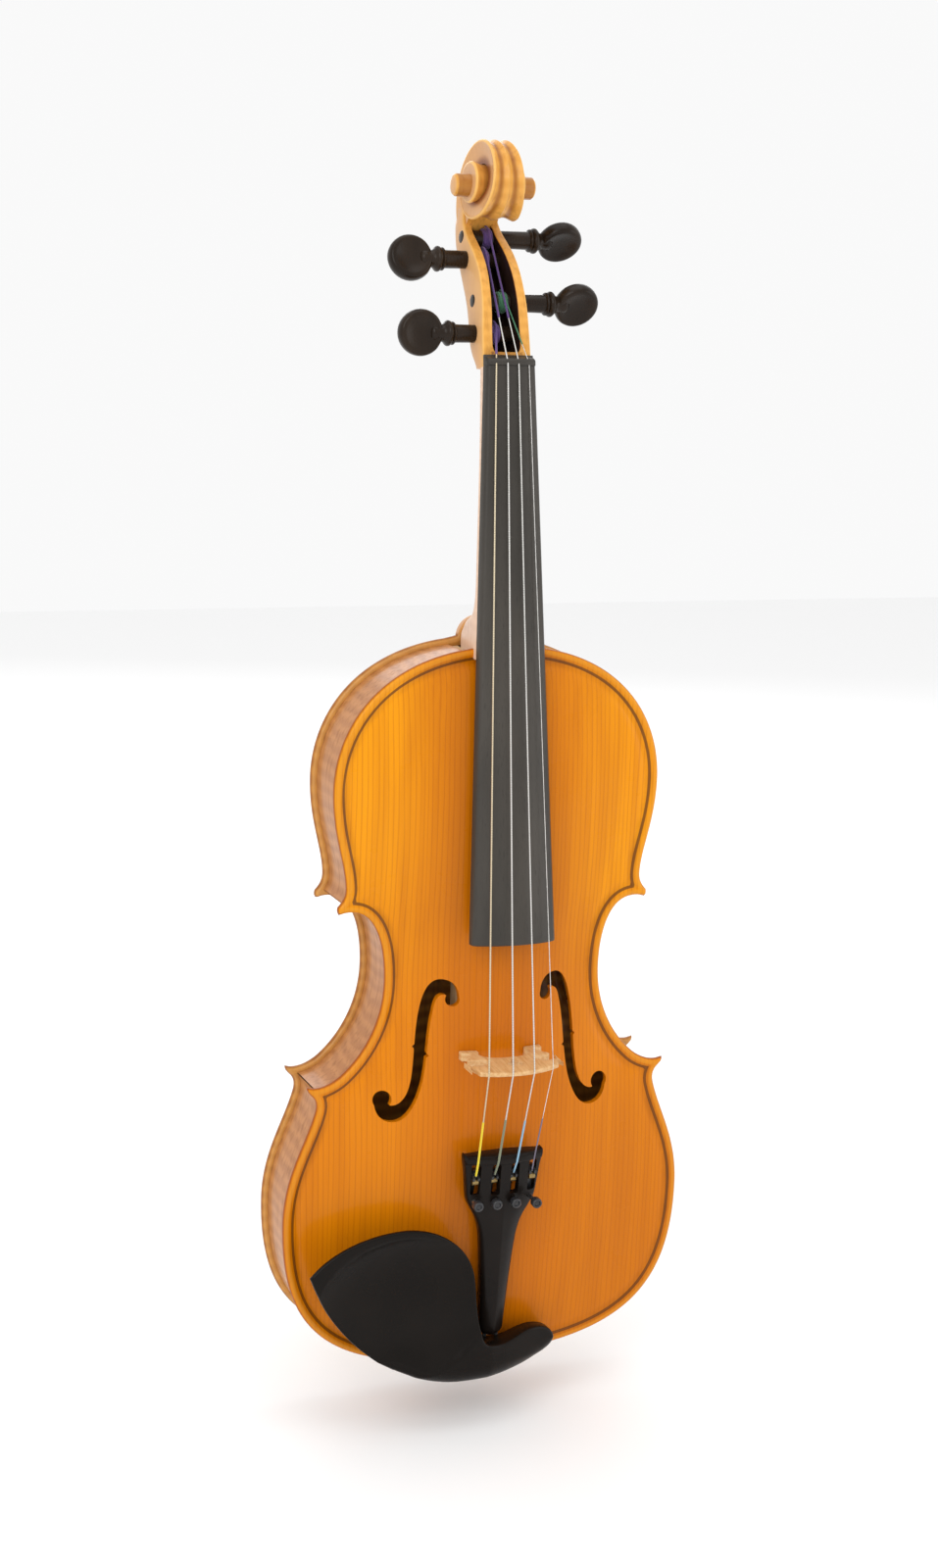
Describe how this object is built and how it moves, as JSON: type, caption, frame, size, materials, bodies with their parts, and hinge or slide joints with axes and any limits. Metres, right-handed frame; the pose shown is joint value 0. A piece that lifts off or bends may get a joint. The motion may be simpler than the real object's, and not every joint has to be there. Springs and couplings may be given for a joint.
{
  "type": "violin",
  "caption": "Full-size arched violin with carved scroll, ebony fittings, a tailpiece with built-in fine tuners and a side-mounted chin rest.",
  "frame": {"origin": "centre of the end button's cylindrical head, at the tail end of the body, half way up the ribs", "axes": "+Z from the tail end to the scroll, -Y out of the belly, +X to the treble (E string) side"},
  "size_m": [0.207, 0.1053, 0.5943],
  "materials": {
    "spruce_top": "glossy golden-orange varnish over straight spruce grain",
    "maple": "glossy amber varnish over flamed maple",
    "purfling": "inlaid, varnished over",
    "bare_spruce": "bare",
    "bare_maple": "bare, oiled",
    "ebony": "satin",
    "composite": "satin",
    "chinrest": "satin gloss",
    "cork": "matt",
    "nylon": "smooth",
    "plated_steel": "polished",
    "black_metal": "satin black",
    "ball_brass": "bright",
    "string_metal": "bright winding",
    "silk": "wound silk thread"
  },
  "bodies": {
    "violin": {"top_plate": "spruce_top", "back_plate": "maple", "purfling": "purfling", "rib_upper_bass": "maple", "rib_upper_treble": "maple", "rib_waist_bass": "maple", "rib_waist_treble": "maple", "rib_lower_bass": "maple", "rib_lower_treble": "maple", "linings": "bare_spruce", "neck_block": "bare_spruce", "end_block": "bare_spruce", "corner_blocks": "bare_spruce", "bass_bar": "bare_spruce", "soundpost": "bare_spruce", "saddle": "ebony", "end_button": "ebony", "neck": "maple", "fingerboard": "ebony", "nut": "ebony", "bridge": "bare_maple", "tailpiece": "composite", "tailgut": "nylon", "tuner_pins": "plated_steel", "string_g": "string_metal", "string_d": "string_metal", "string_a": "string_metal", "string_e": "string_metal", "chinrest": "chinrest", "chinrest_cork": "cork", "clamp_bracket": "plated_steel"},
    "peg_g": {"peg_g": "ebony", "string_winding_g": "silk"},
    "tuner_screw_g": {"tuner_screw_g": "plated_steel"},
    "tuner_knob_g": {"tuner_knob_g": "black_metal"},
    "tuner_lever_g": {"tuner_lever_g": "plated_steel", "ball_end_g": "ball_brass"},
    "peg_d": {"peg_d": "ebony", "string_winding_d": "silk"},
    "tuner_screw_d": {"tuner_screw_d": "plated_steel"},
    "tuner_knob_d": {"tuner_knob_d": "black_metal"},
    "tuner_lever_d": {"tuner_lever_d": "plated_steel", "ball_end_d": "ball_brass"},
    "peg_a": {"peg_a": "ebony", "string_winding_a": "silk"},
    "tuner_screw_a": {"tuner_screw_a": "plated_steel"},
    "tuner_knob_a": {"tuner_knob_a": "black_metal"},
    "tuner_lever_a": {"tuner_lever_a": "plated_steel", "ball_end_a": "ball_brass"},
    "peg_e": {"peg_e": "ebony", "string_winding_e": "silk"},
    "tuner_screw_e": {"tuner_screw_e": "plated_steel"},
    "tuner_knob_e": {"tuner_knob_e": "black_metal"},
    "tuner_lever_e": {"tuner_lever_e": "plated_steel", "ball_end_e": "ball_brass"},
    "clamp_barrel_bass": {"clamp_barrel_bass": "plated_steel"},
    "clamp_barrel_treble": {"clamp_barrel_treble": "plated_steel"},
    "clamp_foot": {"clamp_foot": "plated_steel", "clamp_foot_cork": "cork"}
  },
  "joints": [
    {"name": "peg_g_turn", "type": "hinge", "parent": "violin", "child": "peg_g", "pos_m": [0, 0.00376, 0.50301], "axis": [1, 0, 0], "continuous": true},
    {"name": "peg_d_turn", "type": "hinge", "parent": "violin", "child": "peg_d", "pos_m": [0, 0.02167, 0.53668], "axis": [1, 0, 0], "continuous": true},
    {"name": "peg_a_turn", "type": "hinge", "parent": "violin", "child": "peg_a", "pos_m": [0, 0.02928, 0.54673], "axis": [1, 0, 0], "continuous": true},
    {"name": "peg_e_turn", "type": "hinge", "parent": "violin", "child": "peg_e", "pos_m": [0, 0.00885, 0.51755], "axis": [1, 0, 0], "continuous": true},
    {"name": "tuner_g_travel", "type": "slide", "parent": "violin", "child": "tuner_screw_g", "axis": [0, 0.9962, 0.0872], "range_m": [-0.003, 0.001]},
    {"name": "tuner_g_turn", "type": "hinge", "parent": "tuner_screw_g", "child": "tuner_knob_g", "pos_m": [-0.01455, -0.04285, 0.09404], "axis": [0, 0.9962, 0.0872], "range_deg": [-2165, 725]},
    {"name": "tuner_g_lever", "type": "hinge", "parent": "violin", "child": "tuner_lever_g", "pos_m": [-0.01455, -0.03693, 0.10791], "axis": [1, 0, 0], "range_deg": [-13.22, 4.61]},
    {"name": "tuner_d_travel", "type": "slide", "parent": "violin", "child": "tuner_screw_d", "axis": [0, 0.9962, 0.0872], "range_m": [-0.003, 0.00065]},
    {"name": "tuner_d_turn", "type": "hinge", "parent": "tuner_screw_d", "child": "tuner_knob_d", "pos_m": [-0.00485, -0.04285, 0.09404], "axis": [0, 0.9962, 0.0872], "range_deg": [-2165, 473]},
    {"name": "tuner_d_lever", "type": "hinge", "parent": "violin", "child": "tuner_lever_d", "pos_m": [-0.00485, -0.03693, 0.10791], "axis": [1, 0, 0], "range_deg": [-13.22, 3.1]},
    {"name": "tuner_a_travel", "type": "slide", "parent": "violin", "child": "tuner_screw_a", "axis": [0, 0.9962, 0.0872], "range_m": [-0.0027, 0.00095]},
    {"name": "tuner_a_turn", "type": "hinge", "parent": "tuner_screw_a", "child": "tuner_knob_a", "pos_m": [0.00485, -0.04285, 0.09404], "axis": [0, 0.9962, 0.0872], "range_deg": [-1949, 689]},
    {"name": "tuner_a_lever", "type": "hinge", "parent": "violin", "child": "tuner_lever_a", "pos_m": [0.00485, -0.03693, 0.10791], "axis": [1, 0, 0], "range_deg": [-11.93, 4.39]},
    {"name": "tuner_e_travel", "type": "slide", "parent": "violin", "child": "tuner_screw_e", "axis": [0, 0.9962, 0.0872], "range_m": [-0.0002, 0.0038]},
    {"name": "tuner_e_turn", "type": "hinge", "parent": "tuner_screw_e", "child": "tuner_knob_e", "pos_m": [0.01455, -0.04285, 0.09404], "axis": [0, 0.9962, 0.0872], "range_deg": [-149, 2741]},
    {"name": "tuner_e_lever", "type": "hinge", "parent": "violin", "child": "tuner_lever_e", "pos_m": [0.01455, -0.03693, 0.10791], "axis": [1, 0, 0], "range_deg": [-1.16, 16.67]},
    {"name": "clamp_foot_travel", "type": "slide", "parent": "violin", "child": "clamp_foot", "axis": [0, 1, 0], "range_m": [0, 0.003]},
    {"name": "clamp_bass_turn", "type": "hinge", "parent": "violin", "child": "clamp_barrel_bass", "pos_m": [-0.0135, 0, 0.0007], "axis": [0, 1, 0], "range_deg": [-3, 1083]},
    {"name": "clamp_treble_turn", "type": "hinge", "parent": "violin", "child": "clamp_barrel_treble", "pos_m": [0.0135, 0, 0.0007], "axis": [0, 1, 0], "range_deg": [-3, 1083]}
  ],
  "couplings": [
    {"joint": "tuner_g_turn", "follows": "tuner_g_travel", "rad_per_m": 12566},
    {"joint": "tuner_g_lever", "follows": "tuner_g_travel", "rad_per_m": 75.188},
    {"joint": "tuner_d_turn", "follows": "tuner_d_travel", "rad_per_m": 12566},
    {"joint": "tuner_d_lever", "follows": "tuner_d_travel", "rad_per_m": 75.188},
    {"joint": "tuner_a_turn", "follows": "tuner_a_travel", "rad_per_m": 12566},
    {"joint": "tuner_a_lever", "follows": "tuner_a_travel", "rad_per_m": 75.188},
    {"joint": "tuner_e_turn", "follows": "tuner_e_travel", "rad_per_m": 12566},
    {"joint": "tuner_e_lever", "follows": "tuner_e_travel", "rad_per_m": 75.188},
    {"joint": "clamp_bass_turn", "follows": "clamp_foot_travel", "rad_per_m": 6283.2},
    {"joint": "clamp_treble_turn", "follows": "clamp_foot_travel", "rad_per_m": 6283.2}
  ]
}
